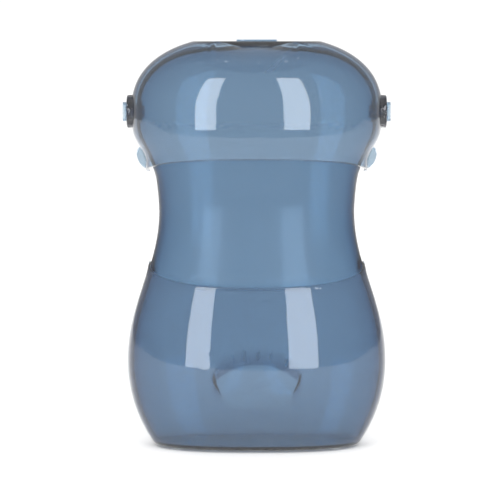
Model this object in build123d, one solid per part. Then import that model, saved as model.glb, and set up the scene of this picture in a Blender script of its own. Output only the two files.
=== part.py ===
"""Urine bottle: a two-shell blue plastic vessel with a waisted neck and a swing-back hood over its mouth.

Working frame: X to the right, Y to the back, Z up, with the hood's pin axis above y = 0 and the
base's underside at z = 0. The finished pieces are moved so that the origin is the middle of the
overall footprint, on the floor. All sizes are outside sizes in millimetres unless a name says otherwise.
"""

from build123d import *

import math
import os

# ---- walls and fits --------------------------------------------------------------------------
NECK_WALL = 1.9            # both shells, away from the bulb's front
BULB_FRONT_WALL = 2.5      # front shell below the ledge
LEDGE_STEP = 1.1           # how far the bulb's front stands proud of the neck
FLOOR_WALL = 2.2
HOOD_WALL = 1.7
HOOD_GAP = 0.8             # between the hood's inside and the vessel
PIN_RUNNING_FIT = 0.05     # radial, hinge pin in the hood's boss
PIN_END_PLAY = 0.15        # between a pin's head and the hood's boss

# ---- vessel: heights of the stations that its shape runs through --------------------------------
BULB_HEIGHT = 50.3         # widest part of the bulb
WAIST_HEIGHT = 138.5       # narrowest part of the neck
PIN_HEIGHT = 196.8         # the hood's axis
NECK_TOP_DROP = 34.0       # the neck joins the head this far below the pin axis

# ---- vessel: half width, front depth and rear depth at those stations ----------------------------
BASE_SIZE = (60.1, 28.6, 19.0)
BULB_SIZE = (75.7, 36.5, 24.0)
WAIST_SIZE = (57.5, 28.5, 21.0)
HEAD_REAR_DEPTH = 22.5
BASE_FILLET = 4.5
BASE_CURVE = 2.17          # power of the curve from the bulb down to the base
NECK_CURVE = 2.0           # power of the curve from the waist up to the head

# ---- head: the hood's outside, a superellipse turned about the pin axis --------------------------
HEAD_HALF_WIDTH = 73.5
HEAD_RADIUS = 45.0
HEAD_TOP = 41.1            # flat top above the pin axis
SQUARENESS = 2.4           # exponent of the superellipse, 2 being an ellipse
REAR_SQUARENESS = 2.8      # of the rear wall below the waist
SKIRT = ((9.0, 0.3), (14.0, 1.4), (20.0, 4.4), (28.0, 7.9), (37.0, 11.8))  # drop, narrowing
SKIRT_DEPTH_SHARE = 0.83   # the front narrows this much of what the sides do
FACET_START = 24.0         # the top facet starts this far above the pin axis
FACET_SLOPE = 37.0         # degrees from horizontal

# ---- hood ------------------------------------------------------------------------------------
HOOD_REAR = 3.0            # the hood's back edge, behind the pin axis
HOOD_EDGE_DROP = 34.8      # the hood's lower edge at its sides, below the pin axis
HOOD_EDGE_SLOPE = 12.0     # degrees that the lower edge rises to the front
LIP_OVERLAP = 1.2          # the vessel's rim rises this far inside the hood's lower edge
BOSS_RADIUS = 9.7
BOSS_FILLET = 0.8
BOSS_REACH = 76.0          # half width over the bosses
EAR_LENGTH = 13.6
EAR_REACH = 4.0
EAR_THICKNESS = 1.6
EAR_DROP = 27.0            # middle of an ear below the pin axis
LIP_WIDTH = 23.5           # finger lip on top of the hood
LIP_HEIGHT = 1.0
LIP_DEPTH = 3.0
GROOVE_WIDTH = 18.0        # shallow finger groove across the facet, below the lip
GROOVE_HEIGHT = 2.4        # along the facet
GROOVE_DEPTH = 0.7
GROOVE_DROP = 3.2          # the groove's middle below the hood's flat top

# ---- hinge pins ------------------------------------------------------------------------------
PIN_RADIUS = 3.5
PIN_HEAD_RADIUS = 5.6
PIN_HEAD_REACH = 78.4      # half width over the pin heads
PIN_BORE_RADIUS = 2.1
PIN_CUP_RADIUS = 4.2
PIN_CUP_DEPTH = 1.6
PIN_BARB = 0.5             # the barb's height over the shank
PIN_BARB_LENGTH = 1.6
SOCKET_RADIUS = 6.8        # the vessel's socket round a pin
SOCKET_LENGTH = 4.6
CHEEK_FORWARD = 9.5        # the rear shell reaches this far in front of the pin axis

# ---- front ledge, finger recess and feet ---------------------------------------------------------
LEDGE_HEIGHT = 108.5       # where the ledge meets the sides
LEDGE_SLOPE = 20.0         # degrees that it dips to the front
RECESS_RADIUS = 34.4       # arch of the finger recess
RECESS_TOP = 51.6          # crown of the arch on the rear wall
RECESS_DEPTH = 9.0
RECESS_SHIFT = 8.3         # the arch drops this far on its way in
RECESS_HALF_CHORD = 26.8
RECESS_FOOT = 9.0          # lower edge of the recess
RECESS_FOOT_HALF = 39.0
RECESS_INNER_CHORD = 24.5  # the same sizes on the recess's floor, which slopes out to its toe
RECESS_INNER_FOOT = 12.0
RECESS_INNER_HALF = 16.0
RECESS_TOE_DEPTH = 1.0     # depth of the floor at its lower edge
RECESS_MOUTH = 3.0         # the cutting shape starts this far outside the rear wall
FOOT_RADIUS = 3.6
FOOT_HEIGHT = 1.2
FRONT_FOOT_X = 45.7
FRONT_FOOT_Y = -12.0
REAR_FOOT_X = 38.0
REAR_FOOT_Y = 8.0

COLLAR_SHARES = (0.0, 0.22, 0.42, 0.58, 0.71, 0.82, 0.91, 1.0)  # stations above the pin axis
COLLAR_CROWN = 0.6         # the collar's flat top is this far inside the hood's swing
COLLAR_SOFTNESS = 6        # larger turns the rear wall into the collar's top more sharply
SKIRT_CLEAR = 3.0          # stations this near the neck's top are left out
SECTION_POINTS = 24
FAR = 1000.0               # larger than the object, for cutting solids
TINY = 1e-9


def superellipse(half_width, front, rear, height, rear_power=SQUARENESS, seam=-1):
    """A closed smooth section: its curve starts in the middle of the front, or of the rear at seam 1."""
    points = []
    for k in range(SECTION_POINTS):
        angle = 2 * math.pi * k / SECTION_POINTS + seam * math.pi / 2
        c = math.cos(angle)
        s = math.sin(angle)
        power = rear_power if s > 0 else SQUARENESS
        depth = rear if s > 0 else front
        x = math.copysign(abs(c) ** (2 / power), c) * half_width
        y = math.copysign(abs(s) ** (2 / power), s) * depth
        if abs(c) < TINY:
            x = 0.0
        if abs(s) < TINY:
            y = 0.0
        points.append((x, y, height))
    knots = [k / SECTION_POINTS for k in range(SECTION_POINTS + 1)]
    return Face(Wire([Edge.make_spline(points, periodic=True, parameters=knots)]))


def half_space(point, normal):
    """A big block that fills the side of a plane that its normal points to."""
    return Plane(origin=point, z_dir=normal) * Pos(0, 0, FAR / 2) * Box(FAR, FAR, FAR)


def skirt_size(drop, offset):
    """Half width and front depth of the head at a drop below the pin axis, moved in by offset."""
    stations = ((0.0, 0.0),) + SKIRT
    for (d0, n0), (d1, n1) in zip(stations, stations[1:]):
        if drop <= d1:
            narrowing = n0 + (n1 - n0) * (drop - d0) / (d1 - d0)
            break
    else:
        narrowing = stations[-1][1]
    return (
        HEAD_HALF_WIDTH - narrowing - offset,
        HEAD_RADIUS - narrowing * SKIRT_DEPTH_SHARE - offset,
    )


def turned_section(rise, half_width, radius):
    """A section above the pin axis of a superellipse turned about that axis."""
    taper = 1 - (rise / radius) ** SQUARENESS
    widest = half_width * taper ** (1 / SQUARENESS)
    points = []
    for k in range(SECTION_POINTS):
        angle = 2 * math.pi * k / SECTION_POINTS + math.pi / 2
        c = math.cos(angle)
        s = math.sin(angle)
        x = math.copysign(abs(c) ** (2 / SQUARENESS), c) * widest
        reach = radius * (1 - (abs(x) / half_width) ** SQUARENESS) ** (1 / SQUARENESS)
        y = math.copysign(math.sqrt(max(0.0, reach**2 - rise**2)), s)
        if abs(c) < TINY:
            x = 0.0
        if abs(s) < TINY:
            y = 0.0
        points.append((x, y, PIN_HEIGHT + rise))
    knots = [k / SECTION_POINTS for k in range(SECTION_POINTS + 1)]
    return Face(Wire([Edge.make_spline(points, periodic=True, parameters=knots)]))


def head(offset):
    """The hood's outside moved in by offset, down past the neck's top, equal front and back."""
    sections = []
    for drop in [d for d, _ in reversed(SKIRT)] + [0.0]:
        width, depth = skirt_size(drop, offset)
        sections.append(superellipse(width, depth, depth, PIN_HEIGHT - drop, seam=1))
    for share in COLLAR_SHARES[1:]:
        rise = (HEAD_TOP - offset) * share
        sections.append(turned_section(rise, width, depth))
    return loft(sections)


def facet_point(rise):
    """The middle of the sloping top facet at a rise above the pin axis, and the facet's normal."""
    slope = math.radians(FACET_SLOPE)
    y = (rise - FACET_START) / math.tan(slope) - math.sqrt(HEAD_RADIUS**2 - FACET_START**2)
    return Vector(0, y, PIN_HEIGHT + rise), Vector(0, -math.sin(slope), math.cos(slope))


def facet(offset):
    """The side of the sloping top facet that is outside the hood, moved in by offset."""
    start, normal = facet_point(FACET_START)
    return half_space(start - normal * offset, normal)


def edge_plane(lift):
    """Everything above the hood's sloping lower edge, moved up by lift."""
    slope = math.radians(HOOD_EDGE_SLOPE)
    return half_space(
        (0, 0, PIN_HEIGHT - HOOD_EDGE_DROP + lift), (0, math.sin(slope), math.cos(slope))
    )


def ease(share):
    """A share that starts and ends level."""
    return (1 - math.cos(math.pi * share)) / 2


def between(start, end, share):
    """The sizes that lie the given share of the way from start to end."""
    return [a + (b - a) * share for a, b in zip(start, end)]


def vessel_sizes(z):
    """Half width, front depth and rear depth of the vessel's smooth outside, up to the neck's top."""
    width, depth = skirt_size(NECK_TOP_DROP, HOOD_WALL + HOOD_GAP)
    top_height = PIN_HEIGHT - NECK_TOP_DROP
    if z <= BULB_HEIGHT:
        share = ((BULB_HEIGHT - z) / BULB_HEIGHT) ** BASE_CURVE
        return between(BULB_SIZE, BASE_SIZE, share)
    if z <= WAIST_HEIGHT:
        share = ease((z - BULB_HEIGHT) / (WAIST_HEIGHT - BULB_HEIGHT))
        return between(BULB_SIZE, WAIST_SIZE, share)
    share = ((z - WAIST_HEIGHT) / (top_height - WAIST_HEIGHT)) ** NECK_CURVE
    width, depth = between(WAIST_SIZE[:2], (width, depth), share)
    return [width, depth, rear_depth(z)]


def rear_depth(z):
    """Rear depth above the waist."""
    rise = min(1.0, (z - WAIST_HEIGHT) / (PIN_HEIGHT - WAIST_HEIGHT))
    return WAIST_SIZE[2] + (HEAD_REAR_DEPTH - WAIST_SIZE[2]) * ease(rise)


def rear_power(z):
    """Exponent of the rear half's section, which changes from the waist to the pin axis."""
    rise = min(1.0, max(0.0, (z - WAIST_HEIGHT) / (PIN_HEIGHT - WAIST_HEIGHT)))
    return REAR_SQUARENESS + (SQUARENESS - REAR_SQUARENESS) * ease(rise)


def vessel_heights():
    """Station heights from the base to the top of the neck."""
    low = [BULB_HEIGHT * k / 4 for k in range(4)]
    middle = [BULB_HEIGHT + (WAIST_HEIGHT - BULB_HEIGHT) * k / 5 for k in range(5)]
    top_height = PIN_HEIGHT - NECK_TOP_DROP
    high = [WAIST_HEIGHT + (top_height - WAIST_HEIGHT) * k / 2 for k in range(3)]
    return low + middle + high


def vessel(offset, seam=-1):
    """The vessel's smooth outside from the base to the top of its collar, moved in by offset."""
    sections = []
    for z in vessel_heights():
        width, front, rear = [size - offset for size in vessel_sizes(z)]
        sections.append(superellipse(width, front, rear, z, rear_power(z), seam))
    inset = HOOD_WALL + HOOD_GAP + offset
    cap = HEAD_TOP - inset
    for drop in [d for d, _ in reversed(SKIRT) if d < NECK_TOP_DROP - SKIRT_CLEAR]:
        z = PIN_HEIGHT - drop
        width, depth = skirt_size(drop, inset)
        rear = rear_depth(z) - offset
        sections.append(superellipse(width, min(depth, cap), rear, z, rear_power(z), seam))
    for share in COLLAR_SHARES:
        rise = (cap - COLLAR_CROWN) * share
        taper = 1 - (rise / (HEAD_RADIUS - inset)) ** SQUARENESS
        width = (HEAD_HALF_WIDTH - inset) * taper ** (1 / SQUARENESS)
        reach = math.sqrt(cap**2 - rise**2)
        soft = (HEAD_REAR_DEPTH - offset) ** -COLLAR_SOFTNESS + reach**-COLLAR_SOFTNESS
        rear = soft ** (-1 / COLLAR_SOFTNESS)
        sections.append(superellipse(width, reach, rear, PIN_HEIGHT + rise, seam=seam))
    return loft(sections)


def bulb_cover(offset):
    """The bulb with the front shell's thicker wall over it, moved in by offset."""
    sections = []
    for z in [h for h in vessel_heights() if h < WAIST_HEIGHT]:
        width, front, rear = [size + LEDGE_STEP - offset for size in vessel_sizes(z)]
        sections.append(superellipse(width, front, rear, z, REAR_SQUARENESS, seam=1))
    return loft(sections)


def recess_outline(top, radius, half, foot, foot_half, slope, crown_y):
    """One end of the recess: arched on top, straight below, its plane sloping back by slope as it rises."""
    spring = top - radius + math.sqrt(radius**2 - half**2)

    def at(x, z):
        return (x, crown_y + (top - z) * slope, z)

    sides = Polyline(at(half, spring), at(foot_half, foot), at(-foot_half, foot), at(-half, spring))
    return make_face(sides + ThreePointArc(at(-half, spring), at(0, top), at(half, spring)))


def recess(offset):
    """The finger recess in the rear wall, grown by offset for the wall inside it."""
    rear = BULB_SIZE[2]
    crown = RECESS_TOP - RECESS_SHIFT
    slope = (RECESS_DEPTH - RECESS_TOE_DEPTH) / (crown - RECESS_INNER_FOOT)
    radius = RECESS_RADIUS + offset
    mouth = recess_outline(
        RECESS_TOP + RECESS_MOUTH + offset,
        radius,
        RECESS_HALF_CHORD + offset,
        RECESS_FOOT - offset,
        RECESS_FOOT_HALF + offset,
        0.0,
        rear + RECESS_MOUTH,
    )
    floor = recess_outline(
        crown + offset,
        radius,
        RECESS_INNER_CHORD + offset,
        RECESS_INNER_FOOT - offset,
        RECESS_INNER_HALF + offset,
        slope,
        rear - RECESS_DEPTH - offset,
    )
    return loft([mouth, floor], ruled=True)


def pin_cylinder(side, radius, inner, outer):
    """A cylinder on the pin axis between two half widths, on one side."""
    length = outer - inner
    middle = side * (inner + outer) / 2
    return Pos(middle, 0, PIN_HEIGHT) * Rot(0, 90, 0) * Cylinder(radius, length)


def foot_places():
    """Names and places of the feet."""
    return {
        "foot_front_left": (-FRONT_FOOT_X, FRONT_FOOT_Y),
        "foot_front_right": (FRONT_FOOT_X, FRONT_FOOT_Y),
        "foot_rear_left": (-REAR_FOOT_X, REAR_FOOT_Y),
        "foot_rear_right": (REAR_FOOT_X, REAR_FOOT_Y),
    }


def round_base(solid, radius):
    """The solid with the edge of its lowest face rounded."""
    return fillet(solid.faces().sort_by(Axis.Z)[0].edges(), radius)


def ledge_plane(drop):
    """Everything above the bulb's sloping ledge, moved down by drop."""
    slope = math.radians(LEDGE_SLOPE)
    return half_space((0, 0, LEDGE_HEIGHT - drop), (0, -math.sin(slope), math.cos(slope)))


def above_floor(solid):
    """The part of an inner solid above the floor, with its lower edge rounded."""
    return round_base(solid & half_space((0, 0, FLOOR_WALL), (0, 0, 1)), BASE_FILLET - FLOOR_WALL)


def make_front_shell():
    """The front of the neck and bulb with half of the floor."""
    outer_neck = vessel(0.0, seam=1) & ledge_plane(0.0)
    outer_bulb = round_base(bulb_cover(0.0), BASE_FILLET) - ledge_plane(0.0)
    inner_neck = vessel(NECK_WALL, seam=1) & ledge_plane(BULB_FRONT_WALL)
    inner_bulb = above_floor(bulb_cover(BULB_FRONT_WALL)) - ledge_plane(BULB_FRONT_WALL)
    shell = (outer_neck + outer_bulb) - (inner_neck + inner_bulb)
    return (shell & half_space((0, 0, 0), (0, -1, 0))) - edge_plane(LIP_OVERLAP)


def make_rear_shell():
    """The rear wall with the finger recess, half of the floor, and the collar inside the hood."""
    cheeks = half_space((0, -CHEEK_FORWARD, 0), (0, 1, 0)) & edge_plane(LIP_OVERLAP)
    keep = half_space((0, 0, 0), (0, 1, 0)) + cheeks
    outside = (round_base(vessel(0.0), BASE_FILLET) & keep) - recess(0.0)
    rear = outside - (above_floor(vessel(NECK_WALL)) - recess(NECK_WALL))
    for side in (-1, 1):
        reach = HEAD_HALF_WIDTH
        socket = pin_cylinder(side, SOCKET_RADIUS, reach - SOCKET_LENGTH - HOOD_WALL, reach)
        rear += socket & outside
        rear -= pin_cylinder(side, PIN_RADIUS, reach - 3 * SOCKET_LENGTH, reach)
    return rear


def make_hood():
    """The swing-back hood with its hinge bosses, ears, finger lip and groove."""
    rear_cut = half_space((0, HOOD_REAR, 0), (0, 1, 0))
    outside = ((head(0.0) - rear_cut) - facet(0.0)) & edge_plane(0.0)
    room = head(HOOD_WALL) - facet(HOOD_WALL)
    lip = Pos(0, HOOD_REAR - LIP_DEPTH / 2, PIN_HEIGHT + HEAD_TOP) * Box(
        LIP_WIDTH, LIP_DEPTH, 2 * LIP_HEIGHT
    )
    outside += lip
    for side in (-1, 1):
        boss = pin_cylinder(side, BOSS_RADIUS, HEAD_HALF_WIDTH - 3 * HOOD_WALL, BOSS_REACH)
        outside += fillet(boss.edges().group_by(Axis.X)[-1 if side > 0 else 0], BOSS_FILLET)
        width, _ = skirt_size(EAR_DROP, 0.0)
        lower, _ = skirt_size(EAR_DROP + EAR_LENGTH / 2, 0.0)
        upper, _ = skirt_size(EAR_DROP - EAR_LENGTH / 2, 0.0)
        lean = math.degrees(math.atan2(upper - lower, EAR_LENGTH))
        lobe = scale(Cylinder(EAR_LENGTH / 2, EAR_THICKNESS), by=(2 * EAR_REACH / EAR_LENGTH, 1, 1))
        place = Pos(side * width, HOOD_REAR - EAR_THICKNESS, PIN_HEIGHT - EAR_DROP)
        outside += place * Rot(0, side * lean, 0) * Rot(90, 0, 0) * lobe
    hood = outside - room
    for side in (-1, 1):
        hood -= pin_cylinder(side, PIN_RADIUS + PIN_RUNNING_FIT, HEAD_HALF_WIDTH / 2, BOSS_REACH + 1)
    middle, normal = facet_point(HEAD_TOP - GROOVE_DROP)
    groove = Box(GROOVE_WIDTH, GROOVE_HEIGHT, 2 * GROOVE_DEPTH)
    return hood - Plane(origin=middle, x_dir=(1, 0, 0), z_dir=normal) * groove


def make_pin(side):
    """A hollow snap pin: cupped head outside the hood's boss, shank, and barb inside the vessel."""
    head_start = BOSS_REACH + PIN_END_PLAY
    tip = HEAD_HALF_WIDTH - HOOD_WALL - SOCKET_LENGTH
    pin = pin_cylinder(side, PIN_HEAD_RADIUS, head_start, PIN_HEAD_REACH)
    pin += pin_cylinder(side, PIN_RADIUS, tip - PIN_BARB_LENGTH, head_start)
    barb = Pos(side * (tip - PIN_BARB_LENGTH / 2), 0, PIN_HEIGHT) * Rot(0, side * 90, 0)
    pin += barb * Cone(PIN_RADIUS - PIN_BARB, PIN_RADIUS + PIN_BARB, PIN_BARB_LENGTH)
    pin -= pin_cylinder(side, PIN_CUP_RADIUS, PIN_HEAD_REACH - PIN_CUP_DEPTH, PIN_HEAD_REACH + 1)
    return pin - pin_cylinder(side, PIN_BORE_RADIUS, tip, PIN_HEAD_REACH)


def make_foot(x, y):
    """A soft round foot stuck under the base."""
    pad = Cylinder(FOOT_RADIUS, FOOT_HEIGHT)
    pad = fillet(pad.edges().group_by(Axis.Z)[0], FOOT_HEIGHT * 0.5)
    return Pos(x, y, -FOOT_HEIGHT / 2) * pad


pieces = {"front_shell": make_front_shell(), "rear_shell": make_rear_shell(), "hood": make_hood()}
pieces["hinge_pin_left"] = make_pin(-1)
pieces["hinge_pin_right"] = make_pin(1)
for name, place in foot_places().items():
    pieces[name] = make_foot(*place)
middle = Pos(0, (HEAD_RADIUS - BULB_SIZE[2]) / 2, FOOT_HEIGHT)
os.makedirs("parts", exist_ok=True)
for name, piece in pieces.items():
    export_step(middle * piece, f"parts/{name}.step")
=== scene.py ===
"""A translucent blue urine bottle with a swing-back hood.

Its shells and hood are dressed as clear blue plastic round their CAD frame, in a white studio.
"""

import logging
import math
from dataclasses import dataclass, field
from enum import Enum

import bpy
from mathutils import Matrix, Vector


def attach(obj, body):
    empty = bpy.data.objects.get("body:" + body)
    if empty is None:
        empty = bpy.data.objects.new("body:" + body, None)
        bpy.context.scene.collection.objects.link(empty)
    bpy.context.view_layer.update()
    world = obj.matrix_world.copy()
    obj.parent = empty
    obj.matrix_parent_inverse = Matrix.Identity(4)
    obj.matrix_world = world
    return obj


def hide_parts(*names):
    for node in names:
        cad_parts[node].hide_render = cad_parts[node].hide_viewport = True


LOG = logging.getLogger("urine_bottle")
MM = 0.001
SATIN = "satin"  # face attribute: 1 where the outside is satin
WHITE = (1.0, 1.0, 1.0, 1.0)
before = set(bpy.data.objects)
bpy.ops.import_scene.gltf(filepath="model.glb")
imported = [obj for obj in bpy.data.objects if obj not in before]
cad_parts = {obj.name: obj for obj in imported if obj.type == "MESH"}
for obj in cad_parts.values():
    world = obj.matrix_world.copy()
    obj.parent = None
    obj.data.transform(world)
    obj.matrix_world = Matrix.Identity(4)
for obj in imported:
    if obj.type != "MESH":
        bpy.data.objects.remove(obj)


class Body(Enum):
    """The rigid bodies that pieces ride on."""

    VESSEL = "vessel"
    LID = "lid"


class Side(Enum):
    """Left and right of the bottle, seen from the front."""

    LEFT = -1
    RIGHT = 1

    @property
    def word(self) -> str:
        """The side's name inside a piece's name."""
        return self.name.lower()


# ---- tools ---------------------------------------------------------------------------------------


def deselect_all() -> None:
    """Leaves object mode with nothing selected."""
    if bpy.context.object is not None and bpy.context.object.mode != "OBJECT":
        bpy.ops.object.mode_set(mode="OBJECT")
    bpy.ops.object.select_all(action="DESELECT")


def take(obj: bpy.types.Object) -> None:
    """Makes an object the only selected and active one.

    Args:
        obj: The object to work on.
    """
    deselect_all()
    obj.select_set(True)
    bpy.context.view_layer.objects.active = obj


def join_faces(obj: bpy.types.Object, distance: float) -> None:
    """Merges the loose triangles of a mesh where their corners meet.

    Args:
        obj: The object to merge.
        distance: Corners this close become one, in metres.
    """
    take(obj)
    bpy.ops.object.mode_set(mode="EDIT")
    bpy.ops.mesh.select_mode(type="FACE")
    bpy.ops.mesh.select_all(action="SELECT")
    bpy.ops.mesh.remove_doubles(threshold=distance)
    bpy.ops.object.mode_set(mode="OBJECT")


def settle(obj: bpy.types.Object, name: str) -> None:
    """Names a finished piece and puts its place into its mesh, so its object is at the origin.

    Args:
        obj: The piece.
        name: Its name.
    """
    take(obj)
    bpy.ops.object.transform_apply(location=True, rotation=True, scale=True)
    obj.name = name
    obj.data.name = name


def smooth(obj: bpy.types.Object, degrees: float = 28.0) -> None:
    """Shades a piece smooth, apart from edges sharper than an angle.

    Args:
        obj: The piece.
        degrees: The sharpest edge that is still shaded smooth.
    """
    take(obj)
    bpy.ops.object.shade_smooth_by_angle(angle=math.radians(degrees))


# ---- finishes ------------------------------------------------------------------------------------


def start_material(name: str) -> tuple[bpy.types.Material, bpy.types.Node, bpy.types.NodeSocket]:
    """Makes a material to fill in.

    Args:
        name: Its name.

    Returns:
        The material, its shader, and the socket that gives a place on the object.
    """
    material = bpy.data.materials.new(name)
    material.use_nodes = True
    nodes = material.node_tree.nodes
    place = nodes.new("ShaderNodeTexCoord").outputs["Object"]
    return material, nodes["Principled BSDF"], place


def add_noise(
    material: bpy.types.Material, place: bpy.types.NodeSocket, scale: float, detail: float = 2.0
) -> bpy.types.NodeSocket:
    """Adds a cloudy pattern to a material.

    Args:
        material: The material.
        place: The socket that gives the place.
        scale: How fine the pattern is, in cells to the metre.
        detail: How many finer layers it has.

    Returns:
        The socket with the pattern, from 0 to 1.
    """
    noise = material.node_tree.nodes.new("ShaderNodeTexNoise")
    noise.inputs["Scale"].default_value = scale
    noise.inputs["Detail"].default_value = detail
    material.node_tree.links.new(place, noise.inputs["Vector"])
    return noise.outputs["Fac"]


def add_range(
    material: bpy.types.Material, source: bpy.types.NodeSocket, low: float, high: float
) -> bpy.types.NodeSocket:
    """Stretches a value from 0 to 1 onto another range.

    Args:
        material: The material.
        source: The value's socket.
        low: What 0 becomes.
        high: What 1 becomes.

    Returns:
        The socket with the new value.
    """
    step = material.node_tree.nodes.new("ShaderNodeMapRange")
    step.inputs["To Min"].default_value = low
    step.inputs["To Max"].default_value = high
    material.node_tree.links.new(source, step.inputs["Value"])
    return step.outputs["Result"]


def add_shades(
    material: bpy.types.Material,
    shader: bpy.types.Node,
    pattern: bpy.types.NodeSocket,
    shades: tuple[tuple[float, float, float], tuple[float, float, float]],
) -> None:
    """Colours a material between two shades.

    Args:
        material: The material.
        shader: Its shader.
        pattern: The socket that picks between the shades.
        shades: The colours at the pattern's low and high ends.
    """
    ramp = material.node_tree.nodes.new("ShaderNodeValToRGB")
    for element, shade in zip(ramp.color_ramp.elements, shades):
        element.color = (*shade, 1.0)
    material.node_tree.links.new(pattern, ramp.inputs["Fac"])
    material.node_tree.links.new(ramp.outputs["Color"], shader.inputs["Base Color"])


@dataclass(frozen=True)
class BluePlastic:
    """Clear blue moulded plastic, which darkens with the thickness that light crosses."""

    name: str
    haze: float
    haze_spread: float = 0.15
    grain_scale: float = 420.0
    grain_detail: float = 4.0
    satin: float = 0.0
    satin_gloss: float = 0.03
    tint: tuple[float, float, float] = (0.97, 0.98, 0.985)
    dye: tuple[float, float, float] = (0.026, 0.325, 0.535)
    dye_density: float = 620.0
    transmission: float = 0.97
    body_ior: float = 1.2
    gloss_ior: float = 1.5
    gloss_roughness: float = 0.03
    flow: float = 0.03
    flow_scale: float = 24.0
    flow_detail: float = 3.0
    flow_stretch: tuple[float, float, float] = (1.0, 1.0, 0.35)
    ripple: float = 0.06
    ripple_depth: float = 0.0006

    def build(self) -> bpy.types.Material:
        """Makes the material.

        Returns:
            The finished material.
        """
        material, shader, place = start_material(self.name)
        shader.inputs["IOR"].default_value = self.body_ior
        shader.inputs["Coat IOR"].default_value = self.gloss_ior
        shader.inputs["Coat Roughness"].default_value = self.gloss_roughness
        shader.inputs["Transmission Weight"].default_value = self.transmission
        self.add_dye(material)
        self.add_flow(material, shader, place)
        self.add_skin(material, shader, place)
        return material

    def add_dye(self, material: bpy.types.Material) -> None:
        """Dyes the plastic through its thickness.

        Args:
            material: The material.
        """
        nodes = material.node_tree.nodes
        body = nodes.new("ShaderNodeVolumeAbsorption")
        body.inputs["Color"].default_value = (*self.dye, 1.0)
        body.inputs["Density"].default_value = self.dye_density
        material.node_tree.links.new(
            body.outputs["Volume"], nodes["Material Output"].inputs["Volume"]
        )

    def add_flow(
        self, material: bpy.types.Material, shader: bpy.types.Node, place: bpy.types.NodeSocket
    ) -> None:
        """Adds the tall, faint clouds and ripples that moulding leaves.

        Args:
            material: The material.
            shader: Its shader.
            place: The socket that gives the place.
        """
        nodes = material.node_tree.nodes
        links = material.node_tree.links
        stretch = nodes.new("ShaderNodeMapping")
        stretch.inputs["Scale"].default_value = self.flow_stretch
        links.new(place, stretch.inputs["Vector"])
        cloud = add_noise(
            material, stretch.outputs["Vector"], self.flow_scale, self.flow_detail
        )
        tint = nodes.new("ShaderNodeMix")
        tint.data_type = "RGBA"
        low = tuple(c * (1.0 - self.flow) for c in self.tint)
        tint.inputs["A"].default_value = (*low, 1.0)
        tint.inputs["B"].default_value = (*self.tint, 1.0)
        links.new(cloud, tint.inputs["Factor"])
        links.new(tint.outputs["Result"], shader.inputs["Base Color"])
        bump = nodes.new("ShaderNodeBump")
        bump.inputs["Strength"].default_value = self.ripple
        bump.inputs["Distance"].default_value = self.ripple_depth
        links.new(cloud, bump.inputs["Height"])
        links.new(bump.outputs["Normal"], shader.inputs["Normal"])

    def add_skin(
        self, material: bpy.types.Material, shader: bpy.types.Node, place: bpy.types.NodeSocket
    ) -> None:
        """Makes the outside polished, or satin where the piece is marked so.

        Args:
            material: The material.
            shader: Its shader.
            place: The socket that gives the place.
        """
        nodes = material.node_tree.nodes
        links = material.node_tree.links
        grain = add_noise(material, place, self.grain_scale, self.grain_detail)
        least = self.haze * (1.0 - self.haze_spread)
        most = self.haze * (1.0 + self.haze_spread)
        mark = nodes.new("ShaderNodeAttribute")
        mark.attribute_name = SATIN
        rough = nodes.new("ShaderNodeMath")
        rough.operation = "MULTIPLY_ADD"
        rough.inputs[1].default_value = self.satin
        links.new(mark.outputs["Fac"], rough.inputs[0])
        links.new(add_range(material, grain, least, most), rough.inputs[2])
        links.new(rough.outputs["Value"], shader.inputs["Roughness"])
        gloss = add_range(material, mark.outputs["Fac"], 1.0, self.satin_gloss)
        links.new(gloss, shader.inputs["Coat Weight"])


@dataclass(frozen=True)
class SoftPad:
    """Pale soft rubber of the feet, a little dusty."""

    name: str = "soft_pale_rubber"
    roughness: float = 0.62
    dust_scale: float = 900.0
    rubber: tuple[float, float, float] = (0.62, 0.66, 0.68)
    dust: tuple[float, float, float] = (0.8, 0.84, 0.86)

    def build(self) -> bpy.types.Material:
        """Makes the material.

        Returns:
            The finished material.
        """
        material, shader, place = start_material(self.name)
        shader.inputs["Roughness"].default_value = self.roughness
        speckle = add_noise(material, place, self.dust_scale)
        add_shades(material, shader, speckle, (self.rubber, self.dust))
        return material


@dataclass(frozen=True)
class StudioFloor:
    """Matt white paper under the bottle, lit a little from below."""

    name: str = "studio_paper"
    roughness: float = 0.9
    fibre_scale: float = 60.0
    shade: tuple[float, float, float] = (0.93, 0.93, 0.93)
    paper: tuple[float, float, float] = (0.95, 0.95, 0.95)
    glow: float = 0.12

    def build(self) -> bpy.types.Material:
        """Makes the material.

        Returns:
            The finished material.
        """
        material, shader, place = start_material(self.name)
        shader.inputs["Roughness"].default_value = self.roughness
        fibre = add_noise(material, place, self.fibre_scale)
        add_shades(material, shader, fibre, (self.shade, self.paper))
        shader.inputs["Emission Color"].default_value = WHITE
        shader.inputs["Emission Strength"].default_value = self.glow
        return material


# ---- pieces --------------------------------------------------------------------------------------


@dataclass
class Moulding:
    """A shell of the bottle, taken over from its CAD node with joined, smooth faces."""

    node: str
    body: Body
    slot: str
    weld: float = 0.002 * MM

    def build(self, material: bpy.types.Material) -> bpy.types.Object:
        """Makes the shell's visible piece.

        Args:
            material: The plastic to dress it in.

        Returns:
            The piece, riding on its body.
        """
        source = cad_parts[self.node]
        piece = source.copy()
        piece.data = source.data.copy()
        bpy.context.collection.objects.link(piece)
        piece.parent = None
        join_faces(piece, self.weld)
        settle(piece, f"{self.node}_moulding")
        smooth(piece)
        piece.data.materials.clear()
        piece.data.materials.append(material)
        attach(piece, self.body.value)
        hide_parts(self.node)
        return piece


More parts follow.
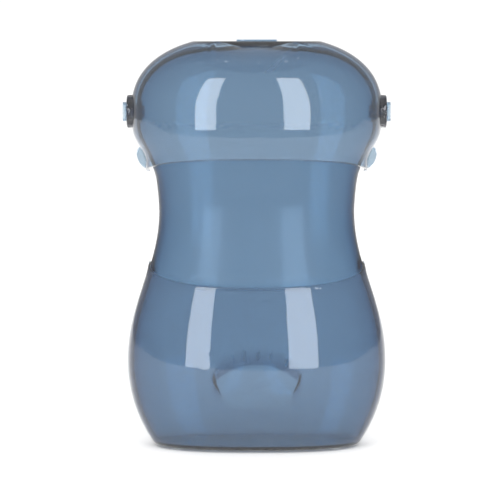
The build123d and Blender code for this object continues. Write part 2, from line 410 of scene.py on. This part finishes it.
@dataclass
class Studio:
    """The floor, the white surround, two tall soft lights and the camera."""

    camera_place: tuple[float, float, float] = (0.0, -1.2065, 0.2391)
    aim_height: float = 0.1174
    lens: float = 149.0
    shift: float = -0.0134
    floor_size: tuple[float, float] = (6.0, 5.0)
    floor_front: float = -0.33
    floor_cells: int = 4
    glow: float = 5.5
    surround_glow: float = 1.06
    mirrored_glow: float = 0.45
    softbox_width: float = 0.42
    softbox_span: tuple[float, float] = (-0.2, 2.3)
    softbox_distance: float = 1.6
    softbox_angles: dict[Side, float] = field(
        default_factory=lambda: {Side.LEFT: -22.5, Side.RIGHT: 16.3}
    )
    card_size: tuple[float, float] = (0.034, 0.028)
    card_place: tuple[float, float, float] = (0.079, 0.333, 1.56)
    card_aim_height: float = 0.23
    bounces: int = 20

    def build(self, material: bpy.types.Material) -> None:
        """Sets the stage.

        Args:
            material: The floor's material.
        """
        deselect_all()
        bpy.ops.mesh.primitive_grid_add(
            x_subdivisions=self.floor_cells, y_subdivisions=self.floor_cells, size=1.0
        )
        floor = bpy.context.object
        floor.scale = (*self.floor_size, 1.0)
        floor.location.y = self.floor_front + self.floor_size[1] / 2
        settle(floor, "studio_floor")
        floor.data.materials.append(material)
        self.surround()
        for side in Side:
            self.softbox(side)
        for side in Side:
            self.overhead_card(side)
        self.camera()
        scene = bpy.context.scene
        scene.view_settings.view_transform = "Standard"
        scene.cycles.max_bounces = self.bounces
        scene.cycles.transmission_bounces = self.bounces

    def surround(self) -> None:
        """Adds a white surround that mirrors as a dim one, as behind black flags."""
        world = bpy.data.worlds.new("studio_surround")
        world.use_nodes = True
        nodes = world.node_tree.nodes
        links = world.node_tree.links
        path = nodes.new("ShaderNodeLightPath")
        level = nodes.new("ShaderNodeMapRange")
        level.inputs["To Min"].default_value = self.surround_glow
        level.inputs["To Max"].default_value = self.mirrored_glow
        mirrored = nodes.new("ShaderNodeMath")
        mirrored.operation = "GREATER_THAN"
        links.new(path.outputs["Is Glossy Ray"], mirrored.inputs[0])
        links.new(path.outputs["Is Transmission Ray"], mirrored.inputs[1])
        links.new(mirrored.outputs["Value"], level.inputs["Value"])
        links.new(level.outputs["Result"], nodes["Background"].inputs["Strength"])
        nodes["Background"].inputs["Color"].default_value = WHITE
        bpy.context.scene.world = world

    def lamp(self, name: str, size: tuple[float, float], place: Vector, aim: Vector) -> None:
        """Adds a rectangular soft light.

        Args:
            name: The light's name.
            size: Its width and height in metres.
            place: Where it hangs.
            aim: What it points at.
        """
        data = bpy.data.lights.new(name, "AREA")
        data.shape = "RECTANGLE"
        data.size, data.size_y = size
        data.energy = self.glow * math.pi * size[0] * size[1]
        light = bpy.data.objects.new(name, data)
        bpy.context.collection.objects.link(light)
        light.location = place
        light.rotation_euler = (aim - place).to_track_quat("-Z", "Y").to_euler()

    def softbox(self, side: Side) -> None:
        """Adds a tall softbox in front of the bottle.

        Args:
            side: Which side of the camera it stands on.
        """
        turn = math.radians(self.softbox_angles[side])
        height = sum(self.softbox_span) / 2
        place = Vector((math.sin(turn), -math.cos(turn), 0.0)) * self.softbox_distance
        place.z = height
        size = (self.softbox_width, self.softbox_span[1] - self.softbox_span[0])
        self.lamp(f"{side.word}_softbox", size, place, Vector((0.0, 0.0, height)))

    def overhead_card(self, side: Side) -> None:
        """Adds a small bright card that only the hood's flat facet mirrors.

        Args:
            side: Which half of the facet it shows in.
        """
        place = Vector(self.card_place)
        place.x *= side.value
        aim = Vector((0.0, 0.0, self.card_aim_height))
        self.lamp(f"{side.word}_card", self.card_size, place, aim)

    def camera(self) -> None:
        """Adds the camera."""
        data = bpy.data.cameras.new("camera")
        data.lens = self.lens
        data.shift_x = self.shift
        camera = bpy.data.objects.new("camera", data)
        bpy.context.collection.objects.link(camera)
        camera.location = self.camera_place
        aim = Vector((0.0, 0.0, self.aim_height)) - camera.location
        camera.rotation_euler = aim.to_track_quat("-Z", "Y").to_euler()
        bpy.context.scene.camera = camera


@dataclass
class Bottle:
    """The whole bottle."""

    ledge_height: float = 109.7 * MM
    ledge_slope: float = 20.0  # degrees
    ledge_margin: float = 0.2 * MM
    parting_y: float = 10.5 * MM
    mouldings: list[Moulding] = field(
        default_factory=lambda: [
            Moulding("front_shell", Body.VESSEL, "shell"),
            Moulding("rear_shell", Body.VESSEL, "shell"),
            Moulding("hood", Body.LID, "hood"),
        ]
    )

    def build(self) -> None:
        """Builds and dresses every piece."""
        plastic = {
            "shell": BluePlastic("shell_blue", 0.05, satin=0.26).build(),
            "hood": BluePlastic("hood_blue", 0.05).build(),
        }
        for moulding in self.mouldings:
            piece = moulding.build(plastic[moulding.slot])
            if moulding.node == "front_shell":
                self.mark_neck(piece)
            LOG.info("%s: %d faces", piece.name, len(piece.data.polygons))
        self.dress("hinge_pin", BluePlastic("pin_blue", 0.12, dye_density=240.0).build())
        self.dress("foot", SoftPad().build())

    def dress(self, prefix: str, material: bpy.types.Material) -> None:
        """Dresses the CAD nodes that stay as they are.

        Args:
            prefix: How their names begin.
            material: The material to dress them in.
        """
        for name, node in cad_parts.items():
            if name.startswith(prefix):
                node.data.materials.clear()
                node.data.materials.append(material)
                LOG.info("%s: %s", name, material.name)

    def mark_neck(self, piece: bpy.types.Object) -> None:
        """Marks the neck's outside as satin, down to the ledge.

        Args:
            piece: The front shell's moulding.
        """
        skin = piece.data.attributes.new(SATIN, "FLOAT", "FACE")
        slope = math.tan(math.radians(self.ledge_slope))
        for face in piece.data.polygons:
            height = self.ledge_height + slope * (face.center.y - self.parting_y)
            outside = face.normal.y < 0.0
            above = face.center.z > height + self.ledge_margin
            skin.data[face.index].value = float(outside and above)


def main() -> None:
    """Builds the bottle and its studio."""
    logging.basicConfig(level=logging.INFO)
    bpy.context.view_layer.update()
    Bottle().build()
    Studio().build(StudioFloor().build())


if __name__ == "__main__":
    main()
